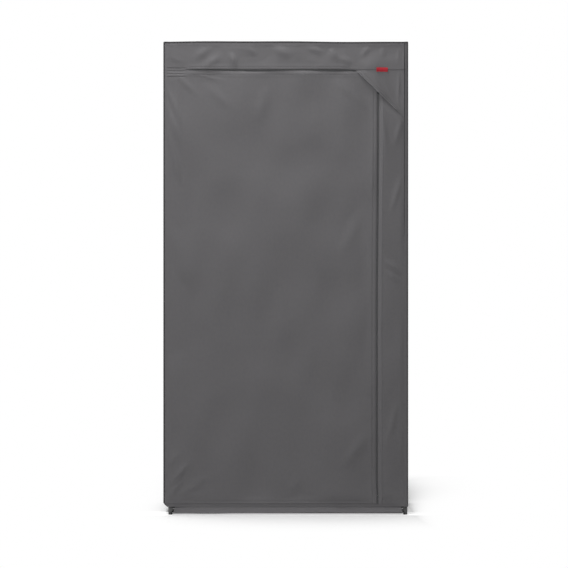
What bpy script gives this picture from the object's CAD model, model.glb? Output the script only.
# %% [markdown]
# # A zipped fabric wardrobe
# The real object is a cloth cover over a plug-together frame of thin steel tubes. Two zips free a door in
# the front, which folds open on its left side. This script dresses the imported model: cloth with folds,
# sewn seams and zips with teeth take the place of the plain solids, and every surface gets its finish.

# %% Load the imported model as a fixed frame
import math

import bpy
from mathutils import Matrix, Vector, noise


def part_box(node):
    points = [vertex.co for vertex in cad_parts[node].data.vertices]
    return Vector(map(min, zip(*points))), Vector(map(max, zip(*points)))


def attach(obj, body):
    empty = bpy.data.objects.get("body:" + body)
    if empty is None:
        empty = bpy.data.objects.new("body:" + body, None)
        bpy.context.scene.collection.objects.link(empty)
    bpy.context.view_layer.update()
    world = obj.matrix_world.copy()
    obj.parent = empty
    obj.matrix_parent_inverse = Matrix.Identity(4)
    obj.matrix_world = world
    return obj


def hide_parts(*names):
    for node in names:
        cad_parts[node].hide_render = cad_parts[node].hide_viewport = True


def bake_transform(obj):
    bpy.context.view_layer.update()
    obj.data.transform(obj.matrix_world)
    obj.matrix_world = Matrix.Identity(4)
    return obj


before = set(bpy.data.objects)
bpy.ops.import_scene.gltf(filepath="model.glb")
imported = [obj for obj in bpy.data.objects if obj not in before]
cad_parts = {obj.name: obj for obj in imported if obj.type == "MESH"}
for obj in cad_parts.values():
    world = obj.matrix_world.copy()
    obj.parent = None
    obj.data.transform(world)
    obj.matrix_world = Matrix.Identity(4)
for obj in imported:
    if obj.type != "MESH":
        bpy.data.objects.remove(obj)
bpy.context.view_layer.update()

# %% [markdown]
# ## Camera
# The photograph was taken straight on with a long lens from far away: the sides run parallel, and neither
# the top nor the sides show. A perspective camera eight metres off does the same.

# %% Camera
FRONT = -0.2224
CAMERA_FAR = 8.0
CAMERA_HEIGHT = 0.829
CAMERA_X = -0.0066
VIEW_WIDTH = 2.0397
bpy.ops.object.camera_add(
    location=(CAMERA_X, FRONT - CAMERA_FAR, CAMERA_HEIGHT), rotation=(math.pi / 2, 0, 0)
)
camera = bpy.context.object
camera.data.lens = camera.data.sensor_width * CAMERA_FAR / VIEW_WIDTH
bpy.context.scene.camera = camera
print("lens", round(camera.data.lens, 1), "mm")

# %% [markdown]
# ## Node helpers
# A finish is built from nodes. Short helpers keep that readable: one adds a node and fills its sockets, one
# puts a texture on a group's own coordinates, and two start a material or a node group. A group makes an
# effect once that several materials use.

# %% Node helpers
def add_node(tree, kind, sockets=None, **settings):
    """A shader node with its settings, and its sockets filled by a value or linked to an output."""
    made = tree.nodes.new("ShaderNode" + kind)
    for name, value in settings.items():
        setattr(made, name, value)
    for name, value in (sockets or {}).items():
        if isinstance(value, bpy.types.NodeSocket):
            tree.links.new(value, made.inputs[name])
        else:
            made.inputs[name].default_value = value
    return made


def texture(tree, kind, inside, scale, sockets=None, **settings):
    """A texture on a group's own coordinates."""
    sockets = {"Vector": inside["Vector"], "Scale": scale, **(sockets or {})}
    return add_node(tree, "Tex" + kind, sockets, **settings)


def new_group(name, inputs, outputs):
    """A shader node group with its named inputs (kind and start value) and outputs."""
    group = bpy.data.node_groups.new(name, "ShaderNodeTree")
    for label, (kind, start) in inputs.items():
        socket = group.interface.new_socket(label, in_out="INPUT", socket_type=kind)
        if start is not None:
            socket.default_value = start
    for label, kind in outputs.items():
        group.interface.new_socket(label, in_out="OUTPUT", socket_type=kind)
    return group, group.nodes.new("NodeGroupInput").outputs, group.nodes.new("NodeGroupOutput")


def new_material(name):
    """A material with its tree and its Principled shader."""
    made = bpy.data.materials.new(name)
    made.use_nodes = True
    return made, made.node_tree, made.node_tree.nodes["Principled BSDF"]


def fill(node, values):
    """Sets inputs of a node by their names."""
    for name, value in values.items():
        node.inputs[name].default_value = value


def put_out(tree, outside, **values):
    """Links the outputs of a group to what they show."""
    for name, value in values.items():
        tree.links.new(value, outside.inputs[name])


NUMBER, PLACE = "NodeSocketFloat", "NodeSocketVector"
A, B, RESULT = 6, 7, 2
print("helpers ready")

# %% [markdown]
# ## Floor, background and light
# The photograph has a white background and a white floor with a soft grey shadow in front of the object
# and a darker one at its lower right. A wide plane is the floor. The camera sees it white further away,
# and lighter under the lip and beside the right foot. Its tone for light that it throws back at the cloth
# is darker, but for a strip just before the lip. The room is darker on the right than on the left.

# %% Floor
bpy.ops.mesh.primitive_plane_add(size=60)
floor = bpy.context.object
floor.name = "floor"
floor_material, tree, shader = new_material("floor_white")
fill(shader, {"Roughness": 0.9, "Specular IOR Level": 0.1})
# A pair gives where a soft change starts and ends, front to back or across, or its two values.
BOUNCE_TONE, LIP_BOUNCE_TONE, SEEN_TONE = 0.56, 0.95, 0.86
BOUNCE_STARTS, BOUNCE_ENDS = (-0.36, -0.28), (-0.22, -0.18)
LIFT, LIP_LIFT = 0.04, 0.56
LIFT_STARTS, LIFT_ENDS = (-0.238, -0.224), (-0.130, -0.105)
FOOT_SIDE, FOOT_DEPTH, FOOT_LIFT = (0.428, 0.440), (-0.05, 0.45), 0.68
SHADE_MIDDLE, CLEAR_TO_WHITE = (0.0, 0.40, 0.0), (0.66, 1.25)
LEFT_FROM, LEFT_WIDE = -0.440, 0.038
RIGHT_FROM, FROM_DEPTH = (0.462, 0.486), (0.10, 0.90)
RIGHT_WIDE, WIDE_DEPTH = (0.018, 0.062), (-0.10, 0.90)
UP, DOWN = (0.0, 1.0), (1.0, 0.0)
seen = add_node(tree, "LightPath").outputs["Is Camera Ray"]
where = add_node(tree, "TexCoord").outputs["Object"]
place = add_node(tree, "SeparateXYZ", {0: where})
across, depth = place.outputs["X"], place.outputs["Y"]


def soft_step(value, span, ends=UP):
    """The first end below the span and the second above it, with a soft change between them."""
    low, high = span
    sockets = {"Value": value, "From Min": low, "From Max": high, "To Min": ends[0], "To Max": ends[1]}
    return add_node(tree, "MapRange", sockets, interpolation_type="SMOOTHSTEP").outputs[0]


def maths(operation, first, second=0.0):
    return add_node(tree, "Math", {0: first, 1: second}, operation=operation).outputs[0]


lip_near = maths("MULTIPLY", soft_step(depth, BOUNCE_STARTS), soft_step(depth, BOUNCE_ENDS, DOWN))
bounce = add_node(tree, "MapRange", {"Value": lip_near, "To Min": BOUNCE_TONE, "To Max": LIP_BOUNCE_TONE})
tone = add_node(tree, "MapRange", {"Value": seen, "To Min": bounce.outputs[0], "To Max": SEEN_TONE})
tree.links.new(tone.outputs[0], shader.inputs["Base Color"])
behind_lip = soft_step(depth, LIFT_ENDS, DOWN)
fading = soft_step(depth, FOOT_DEPTH, (FOOT_LIFT, 0.0))
beside_foot = maths("MULTIPLY", soft_step(across, FOOT_SIDE), fading)
under = maths("MULTIPLY", soft_step(depth, LIFT_STARTS), maths("MAXIMUM", behind_lip, beside_foot))
lift = maths("MULTIPLY", maths("ADD", maths("MULTIPLY", under, LIP_LIFT), LIFT), seen)
lifted = add_node(tree, "Emission", {"Strength": lift})
near = add_node(tree, "AddShader", {0: shader.outputs[0], 1: lifted.outputs[0]})
far = add_node(tree, "VectorMath", {0: where, 1: SHADE_MIDDLE}, operation="DISTANCE").outputs["Value"]
past_right = maths("SUBTRACT", across, soft_step(depth, FROM_DEPTH, RIGHT_FROM))
past_left = maths("SUBTRACT", LEFT_FROM, across)
right = maths("DIVIDE", maths("MAXIMUM", past_right), soft_step(depth, WIDE_DEPTH, RIGHT_WIDE))
left = maths("DIVIDE", maths("MAXIMUM", past_left), LEFT_WIDE)
shaded = maths("EXPONENT", maths("MULTIPLY", maths("ADD", right, left), -1.0))
unshaded = maths("SUBTRACT", 1.0, shaded)
far = maths("MULTIPLY", maths("MAXIMUM", soft_step(far, CLEAR_TO_WHITE), unshaded), seen)
white = add_node(tree, "Emission", {"Strength": 1.0})
blend = add_node(tree, "MixShader", {0: far, 1: near.outputs[0], 2: white.outputs[0]})
tree.links.new(blend.outputs[0], tree.nodes["Material Output"].inputs["Surface"])
floor.data.materials.append(floor_material)
print("floor", len(tree.nodes), "nodes")

# %% World
world = bpy.data.worlds.new("white_room")
bpy.context.scene.world = world
world.use_nodes = True
tree = world.node_tree
seen = add_node(tree, "LightPath").outputs["Is Camera Ray"]
ROOM_LEFT, ROOM_RIGHT = 0.34, 0.19
towards = add_node(tree, "TexCoord").outputs["Generated"]
across = add_node(tree, "SeparateXYZ", {0: towards}).outputs["X"]
sockets = {"Value": across, "From Min": -1.0, "To Min": ROOM_LEFT, "To Max": ROOM_RIGHT}
room = add_node(tree, "MapRange", sockets)
strength = add_node(tree, "MapRange", {"Value": seen, "To Min": room.outputs[0], "To Max": 1.0})
sky = tree.nodes["Background"]
fill(sky, {"Color": (1, 1, 1, 1)})
tree.links.new(strength.outputs[0], sky.inputs["Strength"])
bpy.context.scene.view_settings.view_transform = "Standard"
print("room", ROOM_LEFT, "to", ROOM_RIGHT)

# %% Lamps
def lamp(name, place, target, size, watts):
    """A square soft lamp that shines from one point to another."""
    turn = (Vector(target) - Vector(place)).to_track_quat("-Z", "Y").to_euler()
    bpy.ops.object.light_add(type="AREA", location=place, rotation=turn)
    made = bpy.context.object
    made.name = name
    made.data.size = size
    made.data.energy = watts
    return made


key = lamp("key_lamp", (-0.5, -2.6, 2.2), (0.0, 0.0, 1.2), 1.2, 37)
rake = lamp("raking_lamp", (-0.55, -0.75, 3.7), (-0.1, -0.3, 1.0), 0.7, 48)
overhead = lamp("overhead_lamp", (-0.6, 0.6, 4.0), (-0.5, 0.5, 0.0), 2.4, 90)
print("lamps", key.data.energy, rake.data.energy, overhead.data.energy, "W")

# %% [markdown]
# ## Finishes: the cover's cloth
# The cover is non-woven cloth: fibres pressed together, matt, with a fine fleck and a faint mottle. The
# pattern runs on a map in metres that every sheet carries, so it follows the cloth where it bends.

# %% Cloth fibres, a group for the cover's cloth
fibres, inside, outside = new_group(
    "cloth_fibres",
    {"Vector": (PLACE, None), "Fleck": (NUMBER, 900.0), "Mottle": (NUMBER, 110.0)},
    {"Tone": NUMBER, "Height": NUMBER},
)
fleck = texture(fibres, "Noise", inside, inside["Fleck"], {"Detail": 3.0})
mottle = texture(fibres, "Noise", inside, inside["Mottle"], {"Detail": 4.0})
dots = texture(fibres, "Voronoi", inside, inside["Fleck"], feature="SMOOTH_F1")
tone = add_node(fibres, "Math", {0: fleck.outputs[0], 1: mottle.outputs[0]}, operation="ADD")
tone = add_node(fibres, "MapRange", {"Value": tone.outputs[0], "From Min": 0.55, "From Max": 1.45})
height = add_node(fibres, "Math", {0: fleck.outputs[0], 1: dots.outputs["Distance"]}, operation="ADD")
put_out(fibres, outside, Tone=tone.outputs[0], Height=height.outputs[0])

# %% [markdown]
# A seam is bound with woven tape, and a zip is sewn on tape too. Woven tape has ribs a fraction of a
# millimetre apart. The same group gives thread its twist and the tag its satin face.

# %% Woven ribs, a group for tapes, thread and the tag
ribs, inside, outside = new_group(
    "woven_ribs",
    {"Vector": (PLACE, None), "Ribs": (NUMBER, 1100.0), "Fleck": (NUMBER, 500.0)},
    {"Tone": NUMBER, "Height": NUMBER},
)
wave = texture(ribs, "Wave", inside, inside["Ribs"], {"Distortion": 1.0}, bands_direction="DIAGONAL")
grain = texture(ribs, "Noise", inside, inside["Fleck"], {"Detail": 2.0})
WAVE_SHARE = 0.35
sockets = {0: wave.outputs["Fac"], 1: WAVE_SHARE, 2: grain.outputs[0]}
tone = add_node(ribs, "Math", sockets, operation="MULTIPLY_ADD")
tone = add_node(ribs, "MapRange", {"Value": tone.outputs[0], "From Min": 0.3, "From Max": 1.0})
put_out(ribs, outside, Tone=tone.outputs[0], Height=wave.outputs["Fac"])

# %% Textile materials
CLOTH_MAP = "cloth_metres"


def patterned(name, group, share, tones, bump, strength, mapped, scales):
    """A material with two tones mixed by a group's pattern, and with the pattern's relief."""
    made, tree, shader = new_material(name)
    if mapped:
        where = add_node(tree, "UVMap", uv_map=CLOTH_MAP).outputs[0]
    else:
        where = add_node(tree, "TexCoord").outputs["Object"]
    pattern = add_node(tree, "Group", {"Vector": where}, node_tree=group)
    fill(pattern, scales)
    sockets = {0: pattern.outputs[share], A: (*tones[0], 1), B: (*tones[1], 1)}
    colour = add_node(tree, "Mix", sockets, data_type="RGBA")
    sockets = {"Height": pattern.outputs["Height"], "Distance": bump, "Strength": strength}
    relief = add_node(tree, "Bump", sockets)
    tree.links.new(colour.outputs[RESULT], shader.inputs["Base Color"])
    tree.links.new(relief.outputs[0], shader.inputs["Normal"])
    return made, tree, shader, pattern


def textile(name, group, dark, light, rough, bump, sheen=0.0, mapped=False, **scales):
    """A cloth finish: two tones in a pattern, matt, with a sheen where it is satin."""
    made, _, shader, _ = patterned(name, group, "Tone", (dark, light), bump, 0.5, mapped, scales)
    fill(shader, {"Roughness": rough, "Specular IOR Level": 0.15, "Sheen Weight": sheen})
    return made


dark, light = (0.1210, 0.1180, 0.1225), (0.1370, 0.1335, 0.1385)
cloth = textile("cover_cloth", fibres, dark, light, 0.9, 0.0002, mapped=True)
dark, light = (0.050, 0.049, 0.051), (0.076, 0.075, 0.078)
binding = textile("seam_binding", ribs, dark, light, 0.8, 0.0001)
dark, light = (0.095, 0.094, 0.097), (0.150, 0.148, 0.153)
thread = textile("sewing_thread", ribs, dark, light, 0.6, 0.0001, Ribs=1600.0)
dark, light = (0.075, 0.075, 0.077), (0.105, 0.105, 0.108)
tape = textile("zip_tape", ribs, dark, light, 0.85, 0.0001)
dark, light = (0.32, 0.012, 0.022), (0.46, 0.026, 0.040)
tag_cloth = textile("tag_satin", ribs, dark, light, 0.5, 0.0001, sheen=0.2, mapped=True, Ribs=1400.0)
print("textiles", [m.name for m in (cloth, binding, thread, tape, tag_cloth)])

# %% [markdown]
# ## Finishes: plastic and metal
# The connectors are black plastic from a mould, slightly grained and a little paler on worn edges. The
# tubes have a pale powder coat, and the sliders are dark painted metal that shines where it is rubbed.

# %% Hard materials
wear, inside, outside = new_group(
    "edge_wear",
    {"Vector": (PLACE, None), "Grain": (NUMBER, 900.0), "Edge": (NUMBER, 0.56)},
    {"Worn": NUMBER, "Height": NUMBER, "Gloss": NUMBER},
)
shape = add_node(wear, "NewGeometry")
sockets = {"Value": shape.outputs["Pointiness"], "From Min": inside["Edge"], "From Max": 0.70}
edge = add_node(wear, "MapRange", sockets)
patches = texture(wear, "Noise", inside, 60.0, {"Detail": 3.0})
grain = texture(wear, "Noise", inside, inside["Grain"], {"Detail": 2.0})
worn = add_node(wear, "Math", {0: edge.outputs[0], 1: patches.outputs[0]}, operation="MULTIPLY")
gloss = add_node(wear, "MapRange", {"Value": patches.outputs[0], "To Min": -0.08, "To Max": 0.08})
put_out(wear, outside, Worn=worn.outputs[0], Height=grain.outputs[0], Gloss=gloss.outputs[0])


def hard(name, colour, worn, rough, metal, bump, coat=0.0):
    """A hard finish: its colour, a paler one on worn edges, uneven gloss and a fine grain."""
    made, tree, shader, pattern = patterned(name, wear, "Worn", (colour, worn), bump, 0.4, False, {})
    gloss = add_node(tree, "Math", {0: pattern.outputs["Gloss"], 1: rough}, operation="ADD")
    tree.links.new(gloss.outputs[0], shader.inputs["Roughness"])
    fill(shader, {"Metallic": metal, "Coat Weight": coat})
    return made


colour, worn = (0.026, 0.026, 0.027), (0.070, 0.070, 0.072)
moulded = hard("moulded_black_plastic", colour, worn, 0.34, 0.0, 0.00004, coat=0.7)
colour, worn = (0.085, 0.085, 0.088), (0.120, 0.120, 0.124)
nylon = hard("zip_nylon", colour, worn, 0.40, 0.0, 0.00002)
colour, worn = (0.60, 0.61, 0.62), (0.68, 0.69, 0.70)
coated = hard("powder_coated_tube", colour, worn, 0.38, 0.15, 0.00004, coat=0.15)
colour, worn = (0.035, 0.035, 0.038), (0.30, 0.30, 0.31)
slider_metal = hard("dark_slider_metal", colour, worn, 0.34, 0.7, 0.00002)
print("hard finishes", [m.name for m in (moulded, nylon, coated, slider_metal)])

# %% [markdown]
# ## Helpers for sheets of cloth
# A panel starts as a flat grid. Each of its points is then moved to where a rule lays it, so folds, rolled
# edges and the drawn-in foot are all shape and not paint. Solidify gives the sheet its thickness.

# %% Sheet helpers
CLOTH = 0.0012
SMOOTH_ANGLE = math.radians(40)
WELD = 0.00001


def deselect():
    for one in list(bpy.context.selected_objects):
        one.select_set(False)


def named(name):
    """The piece just made, with its name."""
    made = bpy.context.object
    made.name = made.data.name = name
    return made


def use_alone(piece):
    deselect()
    piece.select_set(True)
    bpy.context.view_layer.objects.active = piece


def add_modifier(piece, name, kind, **settings):
    """A modifier with its settings."""
    made = piece.modifiers.new(name, kind)
    for setting, value in settings.items():
        setattr(made, setting, value)


def apply_transforms():
    bpy.ops.object.transform_apply(location=True, rotation=True, scale=True)


def apply_modifiers(piece):
    """Applies all of a piece's modifiers, the first one first."""
    use_alone(piece)
    for name in [modifier.name for modifier in piece.modifiers]:
        bpy.ops.object.modifier_apply(modifier=name)


def dress(piece, finish, body="root", replaces=()):
    """Gives a finished piece its material, its body and the nodes it stands for."""
    piece.data.materials.clear()
    piece.data.materials.append(finish)
    if body:
        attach(piece, body)
    if replaces:
        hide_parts(*replaces)
    return piece


def steps(low, high, size):
    """Even values from low to high, about size apart."""
    count = max(1, round(abs(high - low) / size))
    return [low + (high - low) * step / count for step in range(count + 1)]


def joined_steps(*stops):
    """Values through stops, each given as (value, size of the steps up to it)."""
    values = [stops[0][0]]
    for (low, _), (high, size) in zip(stops, stops[1:]):
        values += steps(low, high, size)[1:]
    return values


def start_edit(action="SELECT"):
    """Edit mode with all of the mesh selected, or none of it."""
    bpy.ops.object.mode_set(mode="EDIT")
    bpy.ops.mesh.select_all(action=action)


def end_edit():
    bpy.ops.object.mode_set(mode="OBJECT")


def select_faces(piece, rule):
    """Edit mode with the faces selected that the rule picks."""
    start_edit("DESELECT")
    bpy.ops.mesh.select_mode(type="FACE")
    end_edit()
    for face in piece.data.polygons:
        face.select = rule(face)
    bpy.ops.object.mode_set(mode="EDIT")


def lay_cloth(name, columns, rows, place, outward, thick=CLOTH, keep=None):
    """A sheet whose grid points are laid by place(column, row), with its thickness behind its face.

    keep, if given, says by its middle which faces stay.
    """
    deselect()
    bpy.ops.mesh.primitive_grid_add(x_subdivisions=len(columns) - 1, y_subdivisions=len(rows) - 1, size=1)
    sheet = named(name)
    mesh = sheet.data
    spots = []
    for vertex in mesh.vertices:
        column = round((vertex.co.x + 0.5) * (len(columns) - 1))
        row = round((vertex.co.y + 0.5) * (len(rows) - 1))
        spots.append((columns[column], rows[row]))
        vertex.co = place(*spots[-1])
    mesh.uv_layers.active.name = CLOTH_MAP
    chart = mesh.uv_layers[CLOTH_MAP]
    for loop in mesh.loops:
        chart.uv[loop.index].vector = spots[loop.vertex_index]
    mesh.update()
    facing = sum((face.normal * face.area for face in mesh.polygons), Vector())
    start_edit()
    if facing.dot(Vector(outward)) < 0:
        bpy.ops.mesh.flip_normals()
    bpy.ops.mesh.remove_doubles(threshold=WELD)
    end_edit()
    if keep:
        use_alone(sheet)
        select_faces(sheet, lambda face: not keep(face.center))
        bpy.ops.mesh.delete(type="FACE")
        end_edit()
    add_modifier(sheet, "thickness", "SOLIDIFY", thickness=thick, offset=-1, use_even_offset=True)
    apply_modifiers(sheet)
    bpy.ops.object.shade_smooth_by_angle(angle=SMOOTH_ANGLE)
    print(name, len(sheet.data.polygons), "faces")
    return sheet


def panel(name, node, columns, rows, place, outward, body="root", **more):
    """A sheet of the cover's cloth that stands for a packed panel."""
    made = lay_cloth(name, columns, rows, place, outward, **more)
    return dress(made, cloth, body=body, replaces=(node,))


# %% [markdown]
# ## How this cloth lies
# Small rules say how far the cloth stands proud of its flat. A ridge is one soft fold along a line, a
# ripple is slow unevenness from a fixed noise, and a rolled edge is the double thickness beside a zip.

# %% Fold rules
def smooth(share):
    share = min(max(share, 0), 1)
    return share * share * (3 - 2 * share)


def rise(value, start, reach):
    """0 up to the start and 1 from a reach beyond it."""
    return smooth((value - start) / reach)


def fall(value, end, reach):
    """1 up to a reach before the end and 0 from the end on."""
    return smooth((end - value) / reach)


def bell(distance, width):
    """1 at no distance, and softly down to 0 on both sides."""
    return math.exp(-((distance / width) ** 2))


def ridge(x, z, fold):
    """One fold from a point to another: (x, z, x, z, width, height), highest in its middle."""
    x0, z0, x1, z1, width, height = fold
    run = Vector((x1 - x0, z1 - z0))
    away = Vector((x - x0, z - z0))
    along = away.dot(run) / run.length_squared
    if not 0 < along < 1:
        return 0
    aside = abs(away.x * run.y - away.y * run.x) / run.length
    return height * math.sin(math.pi * along) ** 2 * bell(aside, width)


def ripple(x, z, size, seed, tall=1.0):
    """Slow unevenness between about -1 and 1, size across and tall times that upwards."""
    return 2 * noise.noise(Vector((x / size, seed, z / (size * tall))))


def ripples(x, z, *kinds):
    """Several ripples together, each with its height first."""
    return sum(height * ripple(x, z, *kind) for height, *kind in kinds)


def folded(x, z, folds):
    return sum(ridge(x, z, fold) for fold in folds)


def rolled(distance, proud=0.0011, reach=0.030):
    """The profile beside a folded edge: flush at the edge, proud just behind it, flat further in."""
    out = proud * smooth(distance / 0.005) * (1 - smooth((distance - 0.008) / reach))
    return out - 0.0002 * (1 - smooth(distance / 0.003))


HEM, DRAW_START, SLACK = 0.029, 0.0412, 0.0145
SIDE, EDGE = 0.439, 0.0043
DRAW_REACH = -0.400


def drawn(x, z):
    """How far the slack left side is drawn in to the foot, at a point of the cover."""
    near = min(max((DRAW_REACH - x) / (DRAW_REACH + SIDE - EDGE), 0), 1)
    down = (DRAW_START - z) / (DRAW_START - HEM)
    return SLACK * near * min(max(0.5 * smooth(down) + 0.5 * down, 0), 1)


# %% [markdown]
# ## Front left strip and door
# On the real cover these are one piece of cloth: the door is only what the two zips free, and it folds
# along a line at the left end of the top zip. One sheet is laid for both, and blended across that line.

# %% Front cloth
HINGE = -0.365
SLIT_X, SLIT_Z, HALF_SLIT = 0.3295, 1.595, 0.0035
FRONT_LEFT, FRONT_RIGHT, FRONT_LOW = -0.4347, 0.4246, 0.040
BAND_LOW, APART = 1.5985, 0.0003
DOOR_EDGE = SLIT_X - HALF_SLIT
SLIT_START = -0.366

front_folds = [
    (-0.434, 1.560, -0.374, 1.395, 0.0080, 0.0057),
    (-0.434, 1.500, -0.368, 1.290, 0.0075, 0.0049),
    (-0.428, 1.420, -0.352, 1.090, 0.0110, 0.0046),
    (-0.400, 1.586, -0.372, 1.330, 0.0080, 0.0035),
    (-0.404, 1.590, -0.300, 1.490, 0.0090, 0.0026),
    (-0.352, 1.590, -0.195, 1.550, 0.0070, 0.0022),
    (-0.300, 1.560, -0.180, 1.440, 0.0160, 0.0032),
    (-0.335, 0.205, -0.430, 0.090, 0.0095, 0.0054),
    (-0.362, 0.136, -0.426, 0.058, 0.0075, 0.0043),
    (-0.380, 0.232, -0.436, 0.158, 0.0085, 0.0035),
    (-0.250, 0.160, -0.400, 0.056, 0.0120, 0.0030),
    (0.165, 1.575, 0.245, 1.490, 0.0120, 0.0027),
    (0.210, 1.560, 0.300, 1.430, 0.0130, 0.0027),
    (0.305, 1.140, 0.170, 0.880, 0.0220, 0.0038),
    (0.315, 0.320, 0.180, 0.140, 0.0200, 0.0041),
    (-0.060, 1.560, -0.110, 1.380, 0.0220, 0.0035),
    (0.060, 0.160, 0.000, 0.050, 0.0180, 0.0030),
]


def slit_wave(x):
    """How far the door's folded edge droops along the top zip: most at a third of the way."""
    droop = bell(x + 0.120, 0.085)
    return 0.0012 - 0.0044 * droop - 0.0034 * rise(x, 0.06, 0.12) + 0.0004 * math.sin(x * 31)


def zip_lean(x, z):
    """The cloth beside the side zip leans a little: to the right at the top, to the left at the foot."""
    near = rise(x, 0.240, 0.075) * (1 - rise(x, 0.340, 0.075)) * rise(z, 0.066, 0.045)
    return near * (0.0026 - 0.0050 * fall(z, 1.45, 0.75))


def settled(x, z):
    """Where a point of the front lies across, once the cloth is drawn in and leans."""
    return x + drawn(x, z) + zip_lean(x, z)


SEWN_ROWS = (1.6037, 1.5932, 1.5828, 1.5722)
DOOR_SEAM_X, DOOR_SEAM_Z, STRIP_SEAM_X, BAND_SEAM_Z = 0.3132, 1.5815, 0.3485, 1.6085


def sewn_down(x, z):
    """Left of the top zip short rows of stitches draw the cloth in."""
    near = rise(x, -0.430, 0.006) * smooth((-0.356 - x) / 0.012)
    return 0.0014 * near * sum(bell(z - row, 0.0026) for row in SEWN_ROWS)


def seam_pull(distance):
    """A row of stitches pulls a narrow groove into the cloth."""
    return 0.0009 * bell(distance, 0.0020)


def front_proud(x, z):
    """How far the strip and the door stand proud of the flat front."""
    soft = ripples(x, z, (0.0050, 0.26, 3.1, 1.6), (0.0032, 0.100, 8.4, 1.5), (0.00016, 0.024, 5.5))
    fold = folded(x, z, front_folds)
    pucker = 0.0006 * math.sin(z * 95 + 4 * math.sin(z * 11)) * bell(DOOR_EDGE - x, 0.022)
    out = soft + fold + pucker
    inner = rise(x, -0.385, 0.06) * smooth((DOOR_EDGE - 0.014 - x) / 0.05) * fall(z, 1.575, 0.05)
    if out < 0:
        out *= inner
    held = rise(x, FRONT_LEFT, 0.022) * rise(z, FRONT_LOW, 0.030)
    held *= 0.25 + 0.75 * fall(x, DOOR_EDGE, 0.020)
    top = fall(z, BAND_LOW, 0.020)
    side_roll = rolled(DOOR_EDGE - x)
    top_roll = rolled(door_top(x) - z, 0.0009, 0.020) * rise(x, SLIT_START, 0.03)
    pulled = seam_pull(x - DOOR_SEAM_X) * fall(z, DOOR_SEAM_Z, 0.006)
    pulled += seam_pull(z - DOOR_SEAM_Z) * 0.6 * rise(x, -0.345, 0.010) * fall(x, DOOR_SEAM_X, 0.004)
    return out * held * top + side_roll + top_roll - sewn_down(x, z) - pulled


def door_top(x):
    """The upper edge: up to the band left of the zip, and the zip's lower side along the door."""
    open_share = rise(x, SLIT_START, 0.026)
    return BAND_LOW - APART - open_share * (2 * HALF_SLIT - 0.0035 - slit_wave(x))


def front_place(x, row):
    z = FRONT_LOW + row * (door_top(x) - FRONT_LOW)
    return Vector((settled(x, z), FRONT - front_proud(x, z), z))


columns = joined_steps(
    (FRONT_LEFT, 0), (-0.418, 0.0033), (-0.385, 0.006), (-0.345, 0.004),
    (0.290, 0.0085), (0.308, 0.004), (DOOR_EDGE, 0.0015),
)
rows = joined_steps((0.0, 0), (0.016, 0.002), (0.980, 0.0052), (1.0, 0.0007))
front_cloth = lay_cloth("front_cloth", columns, rows, front_place, (0, -1, 0))
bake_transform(front_cloth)
dress(front_cloth, cloth, body=None, replaces=("cover_front_left", "door_panel"))

# %% [markdown]
# ## Front right strip
# The strip between the side zip and the corner seam is narrow and pulled flat, with a folded edge at the
# zip and small puckers where the corner seam gathers it.

# %% Right strip
STRIP_LEFT = SLIT_X + HALF_SLIT
FLAP_LEFT, FLAP_LOW, TIP_TOP = 0.2346, 1.426, 1.612
right_folds = [
    (0.345, 0.925, 0.422, 0.858, 0.0080, 0.0054),
    (0.350, 0.880, 0.422, 0.828, 0.0070, 0.0035),
    (0.338, 1.480, 0.362, 1.280, 0.0090, 0.0030),
    (0.405, 0.430, 0.360, 0.230, 0.0110, 0.0035),
    (0.420, 1.230, 0.372, 1.070, 0.0090, 0.0035),
    (0.418, 1.430, 0.385, 1.310, 0.0080, 0.0030),
]


def hypotenuse(x):
    """The height of the corner flap's free edge at x."""
    return TIP_TOP - (TIP_TOP - FLAP_LOW) * (x - FLAP_LEFT) / (FRONT_RIGHT - FLAP_LEFT)


def strip_proud(x, z):
    across = (x - STRIP_LEFT) / (FRONT_RIGHT - STRIP_LEFT)
    soft = 0.0028 * (1 + ripple(x, z, 0.09, 6.2, 2.0)) + 0.00018 * ripple(x, z, 0.022, 1.5)
    fold = folded(x, z, right_folds)
    lean = 0.0046 * (1 - across * across)
    held = smooth(across / 0.16) * smooth((1 - across) / 0.12)
    held *= rise(z, 0.04, 0.03) * fall(z, BAND_LOW, 0.02)
    pulled = seam_pull(x - STRIP_SEAM_X) * 0.6 * fall(z, 1.59, 0.01)
    uncovered = smooth((hypotenuse(x) + 0.015 - z) / 0.050)
    return (max(soft + fold, 0) + lean) * held * uncovered + rolled(x - STRIP_LEFT, 0.0010, 0.010) - pulled


def strip_place(x, z):
    return Vector((settled(x, z), FRONT - strip_proud(x, z), z))


columns = joined_steps((STRIP_LEFT, 0), (STRIP_LEFT + 0.021, 0.0016), (FRONT_RIGHT, 0.006))
rows = steps(0.0393, BAND_LOW - APART, 0.0085)
right_strip = panel("front_right_strip", "cover_front_right", columns, rows, strip_place, (0, -1, 0))

# %% [markdown]
# ## Corner flap
# A triangle of cloth is sewn in at the top right, over the place where the two zips meet. Its long edge is
# free, hemmed, and stands off the door, because the zips' sliders lie under it.

# %% Corner flap
FLAP_RIGHT, FLAP_TOP, FLAP_GROOVE_Z = FRONT_RIGHT, 1.606, 1.5968
sliders_line = (Vector((0.306, 1.596)), Vector((0.3295, 1.522)))


def over_sliders(x, z):
    """1 over the two sliders, falling off softly around them."""
    a, b = sliders_line
    run, away = b - a, Vector((x, z)) - a
    along = min(max(away.dot(run) / run.length_squared, 0), 1)
    return bell((away - run * along).length, 0.036)


flap_folds = [
    (0.330, 1.592, 0.400, 1.475, 0.0090, 0.0018),
    (0.4060, 1.604, 0.4035, 1.460, 0.0050, 0.0026),
    (0.300, 1.600, 0.356, 1.512, 0.0080, 0.0014),
]


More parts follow.
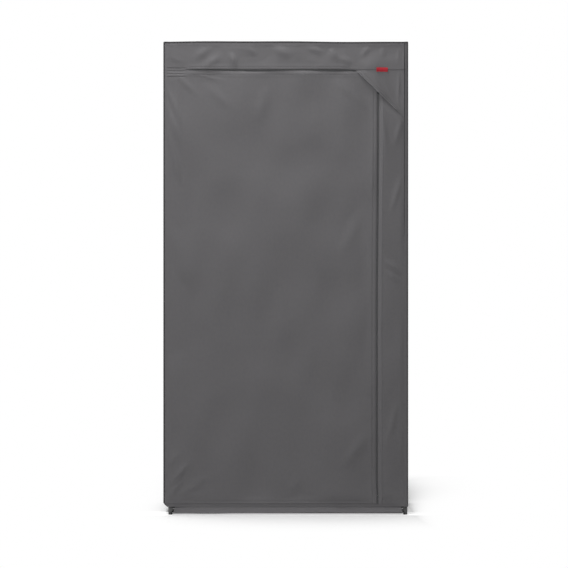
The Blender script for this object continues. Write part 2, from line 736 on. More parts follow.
def flap_proud(x, z):
    from_edge = (z - hypotenuse(x)) * 0.70
    dome = 0.0070 * over_sliders(x, z) * fall(z, TIP_TOP, 0.014)
    hem = 0.0011 * smooth((0.0105 - from_edge) / 0.005) * smooth((from_edge + 0.0015) / 0.003)
    hem *= smooth((BAND_LOW - 0.003 - z) / 0.006) * fall(x, FLAP_RIGHT, 0.030)
    lift = 0.0034 * (1 - smooth(from_edge / 0.034)) * fall(x, FLAP_RIGHT, 0.045)
    lift *= smooth((x - FLAP_LEFT - 0.010) / 0.040) * smooth((BAND_LOW - 0.001 - z) / 0.012)
    fold = folded(x, z, flap_folds) * fall(x, FLAP_RIGHT, 0.012)
    groove = 0.0008 * bell(z - FLAP_GROOVE_Z, 0.0013) * (1 - over_sliders(x, z))
    own = 0.0015 + dome + hem + lift + fold - groove + 0.0005 * (1 + ripple(x, z, 0.05, 2.2))
    return max(own, strip_proud(x, z) + 0.0014) if x > STRIP_LEFT else own


def flap_place(x, share):
    low = min(hypotenuse(x), FLAP_TOP)
    z = low + share * (FLAP_TOP - low)
    return Vector((x, FRONT - flap_proud(x, z), z))


TIP_X = FLAP_LEFT + (TIP_TOP - FLAP_TOP) / (TIP_TOP - FLAP_LOW) * (FLAP_RIGHT - FLAP_LEFT)
columns = steps(TIP_X, FLAP_RIGHT, 0.0030)
flap = panel("corner_flap_cloth", "corner_flap", columns, steps(0, 1, 0.017), flap_place, (0, -1, 0))

# %% [markdown]
# ## Top band
# The band above the door hangs from the top edge and billows a little. Its lower edge is folded over the
# top zip, and at the right it lies over the flap's sewn edge.

# %% Top band
PANEL_TOP = 1.6947
band_folds = [
    (-0.432, 1.650, -0.345, 1.610, 0.0090, 0.0029),
    (-0.345, 1.626, -0.256, 1.690, 0.0150, 0.0040),
    (-0.305, 1.603, -0.222, 1.656, 0.0140, 0.0041),
    (-0.200, 1.668, -0.176, 1.598, 0.0105, 0.0060),
    (-0.150, 1.690, -0.090, 1.640, 0.0130, 0.0036),
    (-0.060, 1.688, 0.030, 1.640, 0.0160, 0.0043),
    (0.058, 1.690, 0.150, 1.654, 0.0120, 0.0050),
    (0.152, 1.690, 0.190, 1.618, 0.0120, 0.0050),
    (0.186, 1.652, 0.250, 1.610, 0.0100, 0.0036),
    (0.262, 1.634, 0.310, 1.692, 0.0100, 0.0036),
    (0.345, 1.630, 0.352, 1.692, 0.0100, 0.0029),
    (0.4045, 1.600, 0.4045, 1.692, 0.0050, 0.0038),
]


def edge_wave(x):
    """The sewn top edge rises and sinks a little along the front."""
    return 0.0012 * math.sin(x * 6.5 + 2.55) + 0.0005 * math.sin(x * 19 + 1)


def band_low_edge(x):
    open_share = rise(x, SLIT_START, 0.03) * (1 - rise(x, 0.215, 0.02))
    return BAND_LOW + open_share * (0.0014 + 0.0004 * math.sin(x * 17))


def band_proud(x, z):
    fold = folded(x, z, band_folds)
    soft = 0.0004 + 0.0018 * ripple(x, z, 0.10, 4.4, 0.7) + 0.00022 * ripple(x, z, 0.022, 7.5)
    billow = 0.0024 * min(max((PANEL_TOP - z) / 0.094, 0), 1) ** 2.4
    over = rise(x, 0.224, 0.020)
    held = fall(z, PANEL_TOP, 0.022) * rise(x, FRONT_LEFT, 0.018) * fall(x, FRONT_RIGHT, 0.016)
    left = 1 - smooth((SLIT_START + 0.06 - x) / 0.06) * fall(z, 1.668, 0.060)
    out = (fold + soft + billow) * held * left
    low = band_low_edge(x)
    near = fall(z, 1.668, 0.060)
    cover = (0.0034 + 0.0070 * over_sliders(x, low)) * near * over
    rounded = 0.0006 * (1 - rise(z, low, 0.002)) * over
    roll = rolled(z - low, 0.0008, 0.012) * (1 - over) * rise(x, SLIT_START, 0.02)
    pulled = seam_pull(z - BAND_SEAM_Z) * 0.6 * (1 - over) * rise(x, -0.352, 0.010)
    return max(out * (1 - near * over), 0) + cover - rounded + roll - sewn_down(x, z) - pulled


def band_place(x, share):
    low = band_low_edge(x)
    z = low + share * (PANEL_TOP + edge_wave(x) - low)
    return Vector((x, FRONT - band_proud(x, z), z))


columns = joined_steps((FRONT_LEFT, 0), (FRONT_RIGHT, 0.0055))
rows = joined_steps((0.0, 0), (0.12, 0.0105), (1.0, 0.045))
band = panel("top_band_cloth", "cover_top_band", columns, rows, band_place, (0, -1, 0))

# %% [markdown]
# ## Sides, back and top
# Nothing of these shows in the photograph. They are the same cloth, hung from the top rails: slack on the
# left, where the frame stands in a little, and pulled round the posts on the right. The folds are soft and
# long, and stay clear of the tubes behind them.

# %% Left side
BACK, TOP = 0.229, 1.699
LOW_Y, HIGH_Y = FRONT + EDGE, BACK - EDGE
left_folds = [
    (-0.180, 1.680, -0.120, 0.620, 0.020, -0.0075),
    (-0.060, 1.690, -0.020, 0.900, 0.024, -0.0060),
    (0.080, 1.685, 0.060, 0.500, 0.026, -0.0083),
    (0.170, 1.690, 0.120, 0.800, 0.018, -0.0060),
    (-0.190, 0.060, -0.060, 0.560, 0.020, -0.0060),
    (0.190, 0.060, 0.110, 0.480, 0.020, -0.0067),
]


def side_held(y, z):
    ends = rise(y, LOW_Y, 0.03) * fall(y, HIGH_Y, 0.03)
    return ends * rise(z, HEM, 0.05) * fall(z, PANEL_TOP, 0.03)


def left_place(y, z):
    soft = ripples(y, z, (0.0036, 0.16, 12.3, 3.0), (0.0012, 0.06, 2.6, 2.0), (0.00014, 0.02, 9.9))
    fold = folded(y, z, left_folds)
    out = min(soft + fold, 0.0015) * side_held(y, z)
    return Vector((-SIDE + drawn(-SIDE, z) - out, y, z))


side_rows = joined_steps((HEM, 0), (0.062, 0.004), (PANEL_TOP, 0.0105))
columns = steps(LOW_Y, HIGH_Y, 0.0085)
left_side = panel("left_side_cloth", "cover_left", columns, side_rows, left_place, (-1, 0, 0))

# %% Right side, round the front corner
SEAM_X, RIGHT_SIDE, BEND = 0.4274, 0.4402, 0.0115
RAIL_LEVELS = (0.018, 0.860, 1.686)
CORNER_X, CORNER_Y = RIGHT_SIDE - BEND, FRONT + BEND
FLAT_RUN, ARC_RUN = CORNER_X - SEAM_X, BEND * math.pi / 2
right_side_folds = [
    (-0.150, 1.660, -0.110, 0.950, 0.018, -0.0057),
    (-0.020, 1.670, 0.010, 0.920, 0.024, -0.0066),
    (0.120, 1.660, 0.090, 1.000, 0.020, -0.0057),
    (-0.120, 0.800, -0.060, 0.120, 0.022, -0.0057),
    (0.090, 0.780, 0.060, 0.100, 0.022, -0.0062),
    (-0.214, 0.905, -0.120, 0.880, 0.008, 0.0012),
    (-0.214, 0.860, -0.130, 0.845, 0.007, 0.0010),
]


def seam_closed(z):
    """The cloth closes over the corner seam lower down."""
    return fall(z, 1.16, 0.30)


def right_place(run, z):
    """Lays the side by its run from the corner seam: a little front, the bend, then the side."""
    if run <= FLAT_RUN:
        lapped = seam_closed(z) * (1 - run / FLAT_RUN)
        y = FRONT - 0.0004 * lapped + 0.0006 * run / FLAT_RUN
        return Vector((SEAM_X + run - 0.0034 * lapped, y, z))
    if run <= FLAT_RUN + ARC_RUN:
        turn = (run - FLAT_RUN) / BEND
        flat = 0.0006 * math.cos(turn)
        return Vector((CORNER_X + BEND * math.sin(turn), CORNER_Y - BEND * math.cos(turn) + flat, z))
    y = CORNER_Y + run - FLAT_RUN - ARC_RUN
    soft = ripples(y, z, (0.0026, 0.15, 7.7, 2.6), (0.0008, 0.05, 3.3, 2.0), (0.00014, 0.02, 6.1))
    fold = folded(y, z, right_side_folds)
    near_rail = max(smooth((0.07 - abs(z - level)) / 0.05) for level in RAIL_LEVELS)
    inwards = -0.0080 + 0.0074 * near_rail
    out = min(max(soft + fold, inwards), 0.0018)
    held = smooth((y - CORNER_Y - 0.012) / 0.03) * smooth((HIGH_Y - y - 0.010) / 0.03)
    out *= held * rise(z, HEM, 0.05) * fall(z, PANEL_TOP, 0.03)
    return Vector((RIGHT_SIDE + out, y, z))


SIDE_RUN = FLAT_RUN + ARC_RUN + HIGH_Y - CORNER_Y
columns = joined_steps((0.0, 0), (FLAT_RUN, 0.0018), (FLAT_RUN + ARC_RUN, 0.0018), (SIDE_RUN, 0.0085))
rows = steps(HEM, PANEL_TOP, 0.0105)
right_side = panel("right_side_cloth", "cover_right", columns, rows, right_place, (1, -0.2, 0))

# %% Back
BACK_HALF = SIDE - EDGE
back_folds = [
    (-0.400, 1.660, -0.300, 1.250, 0.022, 0.0048),
    (0.400, 1.660, 0.310, 1.300, 0.022, 0.0048),
    (-0.200, 1.680, -0.160, 0.300, 0.030, -0.0057),
    (0.030, 1.685, 0.060, 0.500, 0.034, -0.0062),
    (0.240, 1.680, 0.220, 0.250, 0.028, -0.0057),
    (-0.405, 0.070, -0.240, 0.360, 0.022, 0.0048),
    (0.405, 0.060, 0.260, 0.330, 0.022, 0.0048),
]


def back_place(x, z):
    soft = ripples(x, z, (0.0038, 0.24, 15.1, 2.2), (0.0012, 0.08, 1.9, 1.6), (0.00014, 0.02, 4.8))
    fold = folded(x, z, back_folds)
    held = smooth((BACK_HALF - 0.012 - abs(x)) / 0.04) * smooth((z - HEM - 0.01) / 0.05)
    held *= fall(z, PANEL_TOP, 0.03)
    near_rail = max(smooth((0.07 - PANEL_TOP + z) / 0.04), fall(z, 0.11, 0.04))
    near_tube = max(near_rail, smooth((abs(x) - 0.37) / 0.03))
    inwards = -0.0090 + 0.0066 * near_tube
    out = min(max(soft + fold, inwards), 0.0075) * held
    return Vector((x + drawn(x, z), BACK + out, z))


columns = joined_steps((-BACK_HALF, 0), (-0.400, 0.004), (BACK_HALF, 0.0105))
back = panel("back_cloth", "cover_back", columns, side_rows, back_place, (0, 1, 0))

# %% Top
TURNED = 0.006
top_folds = [
    (-0.420, -0.200, -0.260, -0.060, 0.016, 0.0030),
    (0.420, -0.200, 0.280, -0.070, 0.016, 0.0030),
    (-0.420, 0.205, -0.270, 0.080, 0.016, 0.0027),
    (0.420, 0.205, 0.290, 0.090, 0.016, 0.0027),
    (-0.100, -0.205, -0.060, 0.190, 0.030, -0.0033),
    (0.160, -0.190, 0.140, 0.200, 0.030, -0.0033),
]


def hollow(across, deep):
    """1 in the middle of a lying sheet and 0 at its edges."""
    return math.sin(math.pi * across) ** 2 * math.sin(math.pi * deep) ** 2


def top_place(x, y):
    across, deep = (x + BACK_HALF) / (2 * BACK_HALF), (y - LOW_Y) / (HIGH_Y - LOW_Y)
    sag = 0.0058 * hollow(across, deep)
    soft = 0.0010 * ripple(x, y, 0.13, 5.9) + 0.00016 * ripple(x, y, 0.02, 8.8)
    fold = folded(x, y, top_folds)
    held = smooth((BACK_HALF - abs(x)) / 0.03) * rise(y, LOW_Y, 0.03) * fall(y, HIGH_Y, 0.03)
    wave = edge_wave(x) * smooth((BACK_HALF - abs(x)) / 0.02) * (1 - rise(y, LOW_Y, 0.12))
    corner = 0.0015 * (1 - smooth((BACK_HALF - abs(x)) / TURNED))
    corner *= 1 - smooth(min(y - LOW_Y, HIGH_Y - y) / TURNED)
    x -= corner if x > 0 else -corner
    y -= corner if deep > 0.5 else -corner
    return Vector((x, y, TOP - sag + wave + (soft + fold) * held))


def edged_steps(low, high, size):
    """Even values with two short steps at each end, where a sheet is turned down."""
    return joined_steps((low, 0), (low + TURNED, 0.003), (high - TURNED, size), (high, 0.003))


columns, rows = edged_steps(-BACK_HALF, BACK_HALF, 0.0095), edged_steps(LOW_Y, HIGH_Y, 0.0090)
top = panel("top_cloth", "cover_top", columns, rows, top_place, (0, 0, 1))

# %% [markdown]
# ## Base, front lip and door hem
# The base lies on the bottom rails, cut out round the four connectors. The lip comes down from the front to
# a crease over the front rail, slants forward from there and is folded back under the rail. Its ends slant
# out to the legs. The hem is the door's own cloth, folded up behind its lower edge.

# %% Base
POST_LEFT, POST_RIGHT, POST_FRONT, POST_BACK = -0.4115, 0.426, -0.2094, 0.216
CLEAR, BASE_Z = 0.0363, 0.0275


def base_place(x, y):
    across = (x - POST_LEFT) / (POST_RIGHT - POST_LEFT)
    deep = (y - POST_FRONT) / (POST_BACK - POST_FRONT)
    sag = 0.0040 * hollow(across, deep)
    inside = rise(min(deep, 1 - deep), 0.03, 0.08) * rise(min(across, 1 - across), 0.02, 0.05)
    return Vector((x, y, BASE_Z - sag + 0.0006 * ripple(x, y, 0.07, 3.7) * inside))


def on_the_rails(middle):
    across = POST_LEFT + CLEAR < middle.x < POST_RIGHT - CLEAR
    return across or POST_FRONT + CLEAR < middle.y < POST_BACK - CLEAR


def notched_steps(low, high, size=0.012):
    """Even values that meet the two cut-outs, which reach in from each end."""
    return joined_steps((low, 0), (low + CLEAR, size), (high - CLEAR, size), (high, size))


columns, rows = notched_steps(POST_LEFT, POST_RIGHT), notched_steps(POST_FRONT, POST_BACK)
base = panel("base_cloth", "cover_base", columns, rows, base_place, (0, 0, 1), keep=on_the_rails)

# %% Front lip
LIP_TOP, TUCK = 0.039, 0.012
SLANT, SLANT_REACH = 0.0065, 0.03
LIP_RISE, RISE_FROM, RISE_WIDE = 0.0042, -0.30, 0.45
LIP_LEFT, LIP_RIGHT = -0.3988, 0.4133
LIP_FOOT, FOOT_ROUND, FLARE, CREASE = 0.0058, 0.0007, 0.0100, 0.0272
upper = LIP_TOP - LIP_FOOT
quarter = FOOT_ROUND * math.pi / 2
LIP_RUN = upper + quarter + POST_FRONT + TUCK - FRONT + FLARE - FOOT_ROUND


def lip_profile(run):
    """Depth and height along the lip: down to its crease, out over the rail, and back under it."""
    if run < upper:
        z = LIP_TOP - run
        share = min(max((CREASE - z) / (CREASE - LIP_FOOT), 0), 1)
        return FRONT - FLARE * (0.30 * share + 0.70 * share ** 2), z
    turn = min((run - upper) / FOOT_ROUND, math.pi / 2)
    y = FRONT - FLARE + FOOT_ROUND * (1 - math.cos(turn)) + max(run - upper - quarter, 0)
    return y, LIP_FOOT - FOOT_ROUND * math.sin(turn)


def lip_down(z):
    """0 at the hem's height and 1 at the lip's foot."""
    return min(max((HEM - z) / (HEM - 0.005), 0), 1)


def crease(x, z):
    """How deep the crease over the rail is: deep near the lip's ends and uneven between them."""
    ends = min(smooth((LIP_LEFT + 0.050 - x) / 0.040) + smooth((x - LIP_RIGHT + 0.080) / 0.050), 1)
    deep = 0.0008 + 0.0016 * ends + 0.0005 * (1 + ripple(x, 0.2, 0.06, 8.1))
    return deep * bell(z - CREASE, 0.0022)


def lip_place(x, run):
    y, z = lip_profile(run)
    down = lip_down(z)
    y += crease(x, z)
    inner = rise(x, LIP_LEFT, 0.05) * fall(x, LIP_RIGHT, 0.05)
    wave = 0.0007 * ripple(x, 0.3, 0.07, 2.9) * inner + LIP_RISE * rise(x, RISE_FROM, RISE_WIDE)
    lifted = wave * down * (1 - smooth((run - upper - quarter) / 0.009))
    for end, way in ((LIP_LEFT, -1), (LIP_RIGHT, 1)):
        x += way * SLANT * down * (1 - smooth(abs(x - end) / SLANT_REACH))
    return Vector((x + drawn(x, z), y, z + lifted))


def lip_kept(middle):
    """Below the hem the lip ends at the two slanted lines beside the legs."""
    slant = SLANT * lip_down(middle.z)
    return middle.z > HEM or LIP_LEFT - slant < middle.x < LIP_RIGHT + slant


columns = joined_steps(
    (FRONT_LEFT, 0), (LIP_LEFT, 0.006), (LIP_LEFT + SLANT_REACH, 0.005),
    (LIP_RIGHT - SLANT_REACH, 0.010), (LIP_RIGHT, 0.005), (FRONT_RIGHT, 0.006),
)
rows = joined_steps((0.0, 0), (upper, 0.0010), (upper + quarter, 0.0004), (LIP_RUN, 0.003))
lip = panel("front_lip_cloth", "front_lip", columns, rows, lip_place, (0, -1, 0), keep=lip_kept)

# %% Door hem
HEM_LEFT, HEM_RIGHT, HEM_HIGH = HINGE + 0.030, DOOR_EDGE - 0.030, FRONT_LOW + 0.014


def hem_place(x, z):
    return Vector((settled(x, z), FRONT - front_proud(x, z) + CLOTH + APART, z))


columns, rows = steps(HEM_LEFT, HEM_RIGHT, 0.009), steps(FRONT_LOW, HEM_HIGH, 0.0035)
hem = panel("door_hem_cloth", "door_hem", columns, rows, hem_place, (0, -1, 0), thick=0.0010, body="door")

# %% [markdown]
# ## Piped seams
# The cover's edges are piped: a cord in a folded dark tape, sewn between two panels. A strip of grid is
# rolled up round the seam's line, so the piping follows the slack foot and the uneven top edge.

# %% Piping
def roll_piping(name, line, radius, closed=False, sides=10):
    """A round piping along a line of points, closed at its ends or joined into a ring."""
    deselect()
    count = len(line)
    rows = count if closed else count - 1
    bpy.ops.mesh.primitive_grid_add(x_subdivisions=sides, y_subdivisions=rows, size=1)
    piping = named(name)
    for vertex in piping.data.vertices:
        turn = 2 * math.pi * (round((vertex.co.x + 0.5) * sides) % sides) / sides
        step = round((vertex.co.y + 0.5) * rows)
        here = line[step % count]
        before = line[(step - 1) % count] if closed or step else here
        after = line[(step + 1) % count] if closed or step < count - 1 else here
        run = (after - before).normalized()
        first = run.orthogonal().normalized() if abs(run.z) > 0.9 else Vector((0, 0, 1))
        second = run.cross(first).normalized()
        vertex.co = here + radius * (math.cos(turn) * first + math.sin(turn) * second)
    start_edit()
    bpy.ops.mesh.remove_doubles(threshold=WELD)
    if not closed:
        bpy.ops.mesh.fill_holes(sides=sides)
        bpy.ops.mesh.select_all(action="SELECT")
    bpy.ops.mesh.normals_make_consistent(inside=False)
    end_edit()
    bpy.ops.object.shade_smooth_by_angle(angle=SMOOTH_ANGLE)
    print(name, len(piping.data.polygons), "faces")
    return piping


EDGE_X, EDGE_BACK, EDGE_FRONT, EDGE_RADIUS = 0.4375, 0.2275, -0.2209, 0.0025
heights = joined_steps((HEM, 0), (0.062, 0.005), (PANEL_TOP, 0.020))
for name, node, x, y in (
    ("piping_front_left", "seam_front_left", -EDGE_X, EDGE_FRONT),
    ("piping_back_left", "seam_back_left", -EDGE_X, EDGE_BACK),
    ("piping_back_right", "seam_back_right", EDGE_X, EDGE_BACK),
):
    line = [Vector((x + drawn(x, z), y + 0.0004 * math.sin(z * 21 + x), z)) for z in heights]
    dress(roll_piping(name, line, EDGE_RADIUS), binding, replaces=(node,))

FRONT_SEAM_X, FRONT_SEAM_RADIUS = 0.426, 0.0011
line = []
for z in heights:
    sunk = 0.0001 + 0.0026 * fall(z, 1.24, 0.20) + 0.0006 * rise(z, 1.60, 0.04)
    line.append(Vector((FRONT_SEAM_X, FRONT + sunk, z)))
seam = roll_piping("piping_front_right", line, FRONT_SEAM_RADIUS, sides=8)
dress(seam, binding, replaces=("seam_front_right",))


def ring_line(half_x, low_y, high_y, corner, step):
    """Points round a rectangle with round corners, about a step apart."""
    points = []
    corners = ((1, -1), (1, 1), (-1, 1), (-1, -1))
    for (sx, sy), start in zip(corners, (-90, 0, 90, 180)):
        middle = Vector((sx * (half_x - corner), (high_y - corner) if sy > 0 else (low_y + corner)))
        for turn in (0, 22.5, 45, 67.5, 90):
            angle = math.radians(start + turn)
            round_x, round_y = corner * math.cos(angle), corner * math.sin(angle)
            points.append(Vector((middle.x + round_x, middle.y + round_y)))
    filled = []
    for here, there in zip(points, points[1:] + points[:1]):
        count = max(1, round((there - here).length / step))
        filled += [here.lerp(there, one / count) for one in range(count)]
    return filled


def ring_height(x, y):
    front = 1 - rise(y, EDGE_FRONT, 0.02)
    held = smooth((EDGE_X - abs(x)) / 0.02)
    return TOP - 0.0015 + edge_wave(x) * held * front + 0.0005 * math.sin(14 * y + 9 * x) * (1 - front)


flat_ring = ring_line(EDGE_X, EDGE_FRONT, EDGE_BACK, 0.005, 0.012)
ring = [Vector((*point, ring_height(*point))) for point in flat_ring]
seam = roll_piping("piping_top", ring, EDGE_RADIUS, closed=True)
dress(seam, binding, replaces=("seam_top",))

# %% Rolled edge of the corner flap
dark, light = (0.190, 0.186, 0.193), (0.240, 0.235, 0.244)
pale_cloth = textile("turned_cloth", fibres, dark, light, 0.9, 0.0002)
line = []
for x in steps(FLAP_LEFT + 0.020, FLAP_RIGHT - 0.028, 0.005):
    z = hypotenuse(x) + 0.0012
    line.append(Vector((x, FRONT - flap_proud(x, z) - 0.0002, z)))
dress(roll_piping("flap_rolled_edge", line, 0.0013, sides=8), pale_cloth)

# %% [markdown]
# ## Copies along a line
# Stitches and zip teeth repeat hundreds of times. One is modelled at the origin, an Array modifier copies
# it, and each copy is then moved to its own spot, with its length along the seam and its back to the cloth.

# %% Copy helper
def copy_along(name, first, spots):
    """Copies of a small mesh at spots, each a middle, a direction and an outward normal."""
    per = len(first.data.vertices)
    first.name = first.data.name = name
    add_modifier(
        first, "row", "ARRAY", count=len(spots),
        use_relative_offset=False, use_constant_offset=True, constant_offset_displace=(1, 0, 0),
    )
    apply_modifiers(first)
    for number, (middle, along, out) in enumerate(spots):
        along, out = along.normalized(), out.normalized()
        aside = out.cross(along)
        for vertex in first.data.vertices[number * per:(number + 1) * per]:
            x, y, z = vertex.co.x - number, vertex.co.y, vertex.co.z
            vertex.co = middle + along * x + aside * y + out * z
    first.data.update()
    return first


def one_stitch(length=0.0028, radius=0.0004):
    """A stitch lying along X: a short thread, thicker in the middle, with rounded ends."""
    deselect()
    turn = (0, math.pi / 2, 0)
    bpy.ops.mesh.primitive_cylinder_add(vertices=6, radius=radius, depth=length, rotation=turn)
    stitch = named("stitch")
    apply_transforms()
    select_faces(stitch, lambda face: len(face.vertices) == 6)
    bpy.ops.mesh.inset(thickness=radius * 0.5, depth=radius * 0.5, use_individual=True)
    bpy.ops.mesh.select_all(action="SELECT")
    bpy.ops.mesh.bisect(plane_co=(0, 0, 0), plane_no=(1, 0, 0))
    bpy.ops.transform.resize(value=(1, 1.25, 1.25), center_override=(0, 0, 0))
    end_edit()
    bpy.ops.object.shade_smooth()
    return stitch


STITCH_REACH, STITCH_OUT = 0.0008, 0.00012


def stitch_row(name, start, end, proud, body="root", pitch=0.0036, finish=None):
    """A row of stitches on a front sheet from (x, z) to (x, z), lying on its proud rule."""
    start, end = Vector(start), Vector(end)
    count = max(2, round((end - start).length / pitch))
    spots = []
    for number in range(count):
        here = start.lerp(end, (number + 0.5) / count)
        along = (end - start).normalized()
        sunk = [proud(*(here + along * way)) for way in (-STITCH_REACH, STITCH_REACH)]
        middle = Vector((settled(*here), FRONT - proud(*here) - STITCH_OUT, here.y))
        run = Vector((along.x, -(sunk[1] - sunk[0]) / (2 * STITCH_REACH), along.y))
        spots.append((middle, run, Vector((0, -1, 0))))
    row = copy_along(name, one_stitch(), spots)
    return dress(row, finish or thread, body=body)


one = one_stitch()
print("stitch", len(one.data.polygons), "faces", one.dimensions[:])
bpy.data.objects.remove(one)

# %% [markdown]
# ## Stitching
# Rows of stitches run beside both zips, along the flap's hem, the band's folded top, the door's hem, the
# lip, and the hems of the sides and the back. Left of the top zip four short rows draw the cloth in, one on
# the band and three below it, and a bar tack holds each end of the lip.

# %% Rows on the front
HEM_SEAM_Z = HEM_HIGH - 0.0015
for name, start, end, proud, body in (
    ("band_low", (-0.350, BAND_SEAM_Z), (0.226, BAND_SEAM_Z), band_proud, "root"),
    ("band_high_1", (-0.428, 1.6870), (0.420, 1.6870), band_proud, "root"),
    ("band_high_2", (-0.428, 1.6815), (0.420, 1.6815), band_proud, "root"),
    ("door_top", (-0.338, DOOR_SEAM_Z), (0.300, DOOR_SEAM_Z), front_proud, "door"),
    ("door_side", (DOOR_SEAM_X, 0.062), (DOOR_SEAM_X, 1.576), front_proud, "door"),
    ("strip_side", (STRIP_SEAM_X, 0.050), (STRIP_SEAM_X, 1.585), strip_proud, "root"),
    ("door_hem", (HEM_LEFT, HEM_SEAM_Z), (HEM_RIGHT, HEM_SEAM_Z), front_proud, "door"),
    ("zip_end_band_0", (-0.424, SEWN_ROWS[0]), (-0.360, SEWN_ROWS[0]), band_proud, "root"),
):
    stitch_row(f"stitches_{name}", start, end, proud, body=body)
for number, z in enumerate(SEWN_ROWS[1:]):
    start, end = (-0.424, z), (-0.358, z)
    row = stitch_row(f"stitches_zip_end_strip_{number}", start, end, front_proud, body=None)
    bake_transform(row)

# %% Rows on the flap and the lip
slope = Vector((FLAP_RIGHT - FLAP_LEFT, FLAP_LOW - TIP_TOP)).normalized()
across_hem = Vector((-slope.y, slope.x))
for number, inset in enumerate((0.0035, 0.0105)):
    start = Vector((TIP_X, hypotenuse(TIP_X))) + slope * 0.016 + across_hem * inset
    end = Vector((FLAP_RIGHT, FLAP_LOW)) - slope * 0.012 + across_hem * inset
    stitch_row(f"stitches_flap_{number}", start, end, flap_proud)


def lip_proud(x, z):
    return FRONT - lip_profile(LIP_TOP - z)[0]


stitch_row("stitches_lip", (-0.405, 0.0357), (0.418, 0.0357), lip_proud)
for side, x in (("left", LIP_LEFT + 0.0015), ("right", LIP_RIGHT - 0.0015)):
    start, end = Vector((x, 0.0175)), Vector((x, 0.0125))
    stitch_row(f"bar_tack_{side}", start, end, lip_proud, pitch=0.0008, finish=binding)

# %% Hems of the sides and the back
def hem_row(name, place, start, end, out, height=0.043, pitch=0.0042):
    """A row of stitches along a side's or the back's hem."""
    count = round(abs(end - start) / pitch)
    spots = []
    for number in range(count):
        value = start + (end - start) * (number + 0.5) / count
        here = place(value, height)
        ahead = place(value + 0.001, height)
        spots.append((here + Vector(out) * 0.0001, ahead - here, Vector(out)))
    return dress(copy_along(name, one_stitch(), spots), thread)


hem_row("stitches_hem_left", left_place, LOW_Y + 0.01, HIGH_Y - 0.01, (-1, 0, 0))
hem_row("stitches_hem_right", right_place, FLAT_RUN + ARC_RUN + 0.01, SIDE_RUN - 0.01, (1, 0, 0))
hem_row("stitches_hem_back", back_place, -BACK_HALF + 0.02, BACK_HALF - 0.01, (0, 1, 0))

# %% [markdown]
# ## Zips
# Each zip has two woven tapes, sewn behind the cloth, and a coil of nylon teeth on each tape's edge. The
# teeth of one half stand between those of the other. One tooth is a small block with its edges bevelled.

# %% Zip tapes and teeth
CHAIN_GAP, TOOTH_PITCH = 0.0003, 0.0021
TOOTH_LONG, TOOTH_WIDE, TOOTH_TALL, TOOTH_ROUND = 0.00115, 0.00205, 0.0021, 0.00034
TAPE_START, TOOTH_DEPTH = -0.0052, 0.0017
TAPE_WIDE, TAPE_FRONT, TAPE_THICK = 0.014, 0.0015, 0.0006
CHAIN_LEFT, CHAIN_RIGHT, CHAIN_LOW, CHAIN_HIGH = -0.355, 0.312, 0.045, 1.5775


def one_tooth():
    """A tooth lying across the chain: X along the chain, Y across it, Z out of the cloth."""
    deselect()
    bpy.ops.mesh.primitive_cube_add(size=1, scale=(TOOTH_LONG, TOOTH_WIDE, TOOTH_TALL))
    tooth = named("tooth")
    apply_transforms()
    start_edit()
    bpy.ops.mesh.bevel(offset=TOOTH_ROUND, segments=1, affect="EDGES")
    end_edit()
    bpy.ops.object.shade_smooth()
    return tooth


def zip_half(name, node, start, end, across, phase, body):
    """One half of a zip: its tape, and its teeth set off by a phase along it."""
    start, end, across = Vector(start), Vector(end), Vector(across)
    run = (end - start).normalized()
    length = (end - start).length

    def tape_place(aside, along):
        wave = 0.0002 * math.sin(along * 140) * smooth((aside - 0.004) / 0.006)
        return start + run * along + across * aside + Vector((0, TAPE_FRONT - wave, 0))

    columns = [CHAIN_GAP / 2, 0.0020, 0.0045, 0.008, 0.011, TAPE_WIDE]
    rows = steps(TAPE_START, length, 0.006)
    strip = lay_cloth(f"{name}_tape", columns, rows, tape_place, (0, -1, 0), thick=TAPE_THICK)
    dress(strip, tape, body=body, replaces=(node,))
    count = int(length / TOOTH_PITCH) - 1
    middle = across * (CHAIN_GAP / 2 + TOOTH_WIDE / 2) + Vector((0, TOOTH_DEPTH, 0))
    places = [start + run * TOOTH_PITCH * (number + phase) + middle for number in range(count)]
    spots = [(spot, run, Vector((0, -1, 0))) for spot in places]
    dress(copy_along(f"{name}_teeth", one_tooth(), spots), nylon, body=body)


top_ends = (CHAIN_LEFT, FRONT, SLIT_Z), (CHAIN_RIGHT, FRONT, SLIT_Z)
side_ends = (SLIT_X, FRONT, CHAIN_LOW), (SLIT_X, FRONT, CHAIN_HIGH)
zip_half("top_zip_cover", "top_zip_cover_half", *top_ends, (0, 0, 1), 0.75, "root")
zip_half("top_zip_door", "top_zip_door_half", *top_ends, (0, 0, -1), 1.25, "door")
zip_half("side_zip_cover", "side_zip_cover_half", *side_ends, (1, 0, 0), 0.75, "root")
zip_half("side_zip_door", "side_zip_door_half", *side_ends, (-1, 0, 0), 1.25, "door")

# %% [markdown]
# ## Sliders, pulls and mouldings
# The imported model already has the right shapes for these. Each is copied, its loose triangles are joined
# and flattened into whole faces again, and its sharp edges get the small round that a mould or a die gives.

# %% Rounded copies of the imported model's parts
def rounded_copy(name, node, finish, body, radius):
    """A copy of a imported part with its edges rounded."""
    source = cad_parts[node]
    made = bpy.data.objects.new(name, source.data.copy())
    made.data.name = name
    bpy.context.scene.collection.objects.link(made)
    made.data.transform(source.matrix_world)
    use_alone(made)
    start_edit()
    bpy.ops.mesh.remove_doubles(threshold=WELD)
    bpy.ops.mesh.dissolve_limited(angle_limit=math.radians(1))
    end_edit()
    limits = {"limit_method": "ANGLE", "angle_limit": SMOOTH_ANGLE}
    add_modifier(made, "edge", "BEVEL", width=radius, segments=2, **limits)
    apply_modifiers(made)
    bpy.ops.object.shade_smooth_by_angle(angle=SMOOTH_ANGLE)
    return dress(made, finish, body=body, replaces=(node,))


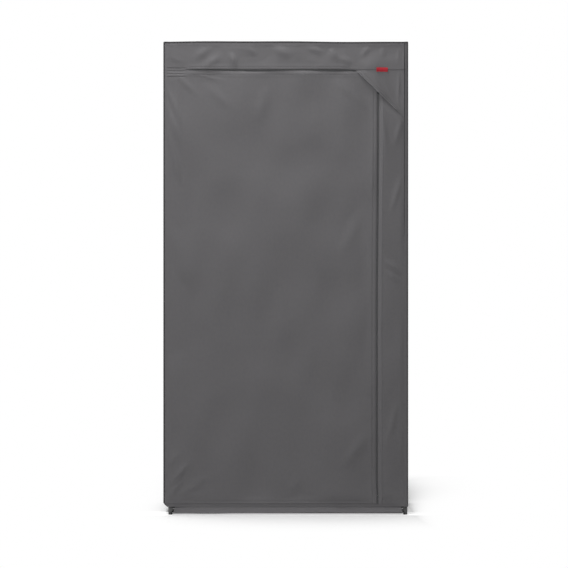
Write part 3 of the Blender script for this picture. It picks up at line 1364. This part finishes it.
SLIDER_ROUND, MOULD_ROUND = 0.00022, 0.0005
for which in ("top", "side"):
    for part, name in (("slider", "body"), ("pull", "pull")):
        node = f"{which}_{part}"
        rounded_copy(f"{which}_slider_{name}", node, slider_metal, node, SLIDER_ROUND)
kinds = ("connector", "joiner", "bracket")
mouldings = [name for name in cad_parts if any(kind in name for kind in kinds)]
for name in mouldings:
    rounded_copy(f"{name}_moulding", name, moulded, "root", MOULD_ROUND)
print(len(mouldings), "mouldings")

# %% [markdown]
# ## Frame tubes
# The frame is thin-walled steel tube with a pale powder coat. Each tube is a smooth cylinder between the
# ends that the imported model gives, with its wall turned inwards and the cut ends slightly rounded.

# %% Tubes
TUBE_RADIUS, TUBE_WALL, RIM_ROUND = 0.008, 0.0005, 0.00015
tubes = [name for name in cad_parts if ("post" in name or "rail" in name) and name not in mouldings]
for node in tubes:
    low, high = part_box(node)
    size = high - low
    axis = max(range(3), key=lambda one: size[one])
    turn = ((0, math.pi / 2, 0), (math.pi / 2, 0, 0), (0, 0, 0))[axis]
    deselect()
    bpy.ops.mesh.primitive_cylinder_add(
        vertices=32, radius=TUBE_RADIUS, depth=size[axis], end_fill_type="NOTHING",
        location=(low + high) / 2, rotation=turn,
    )
    tube = named(f"{node}_tube")
    apply_transforms()
    add_modifier(tube, "wall", "SOLIDIFY", thickness=TUBE_WALL, offset=-1)
    limits = {"limit_method": "ANGLE", "angle_limit": math.radians(60)}
    add_modifier(tube, "rim", "BEVEL", width=RIM_ROUND, segments=1, **limits)
    apply_modifiers(tube)
    bpy.ops.object.shade_smooth_by_angle(angle=SMOOTH_ANGLE)
    dress(tube, coated, replaces=(node,))
print(len(tubes), "tubes")

# %% [markdown]
# ## Tag
# A small red satin tag is sewn over the seam between the band and the flap. Its ends are folded under, so
# they are a little thicker, and a short row of stitches holds each.

# %% Tag
TAG_X, TAG_Z, TAG_WIDE, TAG_TALL, TAG_THICK = 0.345, 1.5985, 0.040, 0.015, 0.0005


def tag_proud(x, z):
    """The tag lies over the band's edge and the flap below it."""
    step = 0.0024 * rise(z, 1.5915, 0.007)
    turned = 0.0003 * smooth((abs(x - TAG_X) - 0.0165) / 0.0015)
    pillow = 0.0005 * math.cos(math.pi * (z - TAG_Z) / TAG_TALL)
    under = max(flap_proud(x, min(z, 1.591)) + step, band_proud(x, max(z, 1.600)) * (z > 1.5990))
    return under + 0.0004 + TAG_THICK + turned + pillow


def tag_place(x, z):
    return Vector((x, FRONT - tag_proud(x, z), z))


columns = steps(TAG_X - TAG_WIDE / 2, TAG_X + TAG_WIDE / 2, 0.001)
rows = steps(TAG_Z - TAG_TALL / 2, TAG_Z + TAG_TALL / 2, 0.001)
tag = lay_cloth("seam_tag_satin", columns, rows, tag_place, (0, -1, 0), thick=TAG_THICK)
dress(tag, tag_cloth, replaces=("seam_tag",))
dark, light = (0.36, 0.010, 0.016), (0.50, 0.020, 0.028)
tag_thread = textile("tag_thread", ribs, dark, light, 0.5, 0.0001, Ribs=1600.0)
ROW_ASIDE, ROW_HALF = 0.0180, 0.0062
for number, x in enumerate((TAG_X - ROW_ASIDE, TAG_X + ROW_ASIDE)):
    start, end = (x, TAG_Z - ROW_HALF), (x, TAG_Z + ROW_HALF)
    row = stitch_row(f"stitches_tag_{number}", start, end, tag_proud, pitch=0.0031, finish=tag_thread)
